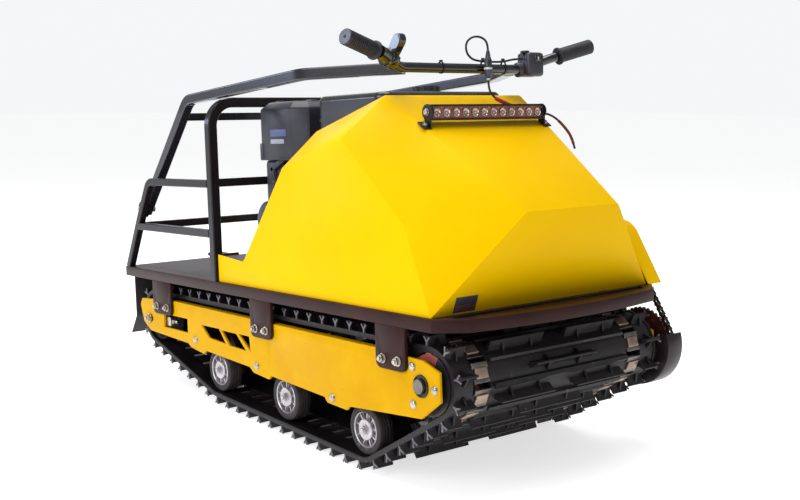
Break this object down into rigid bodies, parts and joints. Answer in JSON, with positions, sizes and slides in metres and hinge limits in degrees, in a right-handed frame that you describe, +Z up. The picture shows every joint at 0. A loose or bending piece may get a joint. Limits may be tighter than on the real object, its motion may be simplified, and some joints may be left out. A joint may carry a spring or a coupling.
{
  "type": "tracked snow tug",
  "caption": "Tracked snow tug on one wide rubber belt, with faceted hood, load deck, rack and folding handlebar arms.",
  "frame": {"origin": "on the ground under the middle of the machine's box", "axes": "+X forward, +Y to the machine's left, +Z up"},
  "size_m": [1.5516, 0.7408, 0.9455],
  "materials": {
    "frame_paint": "dark brown-black satin paint",
    "deck_paint": "dark grey satin paint",
    "yellow_paint": "glossy yellow paint",
    "belt_rubber": "black rubber",
    "tyre_rubber": "black solid rubber",
    "wheel_alloy": "cast wheel, machined face",
    "red_paint": "red-pink moulded plastic",
    "dark_steel": "black satin paint",
    "bright_steel": "zinc plated",
    "black_plastic": "moulded black",
    "tank_paint": "black paint",
    "engine_alloy": "cast, dull",
    "cover_paint": "dark grey-blue paint",
    "exhaust_steel": "heat-dulled steel",
    "bar_gloss": "gloss black paint",
    "grip_rubber": "ribbed dark rubber",
    "flap_rubber": "dark sheet",
    "lamp_black": "black anodised",
    "lamp_lens": "clear",
    "wire_black": "black insulation"
  },
  "bodies": {
    "root": {"air_filter_box": "black_plastic", "belt_tensioners": "bright_steel", "blower_cover": "cover_paint", "chain_cover": "yellow_paint", "chain_guard": "frame_paint", "deck": "deck_paint", "drive_chain": "dark_steel", "drive_pulleys": "dark_steel", "drive_shaft": "bright_steel", "drive_sprockets": "red_paint", "engine_bed": "frame_paint", "engine_block": "engine_alloy", "frame": "frame_paint", "fuel_cap": "black_plastic", "fuel_tank": "tank_paint", "hangers": "frame_paint", "hood": "yellow_paint", "hoop": "frame_paint", "idler_shaft": "bright_steel", "idler_wheels": "black_plastic", "jackshaft": "bright_steel", "jackshaft_blocks": "frame_paint", "lamp_feet": "lamp_black", "lamp_glass": "lamp_lens", "lamp_housing": "lamp_black", "lamp_lead": "wire_black", "lamp_wire": "wire_black", "lower_sprocket": "dark_steel", "mud_flap": "flap_rubber", "muffler": "exhaust_steel", "pivot_bolts": "bright_steel", "plug_lower": "black_plastic", "rear_rack": "frame_paint", "road_tyres": "tyre_rubber", "road_wheels": "wheel_alloy", "shaft_bearings": "dark_steel", "side_plate_port": "yellow_paint", "side_plate_starboard": "yellow_paint", "starter_cover": "cover_paint", "tank_bracket": "frame_paint", "tow_hitch": "frame_paint", "track_belt": "belt_rubber", "wheel_carriers": "dark_steel"},
    "arms": {"arm_frame": "frame_paint", "handlebar": "bar_gloss", "grips": "grip_rubber", "switch_housing": "black_plastic", "thumb_throttle": "black_plastic", "plug_upper": "black_plastic", "switch_cable": "wire_black"}
  },
  "joints": [
    {"name": "arms_fold", "type": "hinge", "parent": "root", "child": "arms", "pos_m": [-0.61375, -0.00163, 0.48017], "axis": [0, -1, 0], "range_deg": [0, 130]}
  ]
}
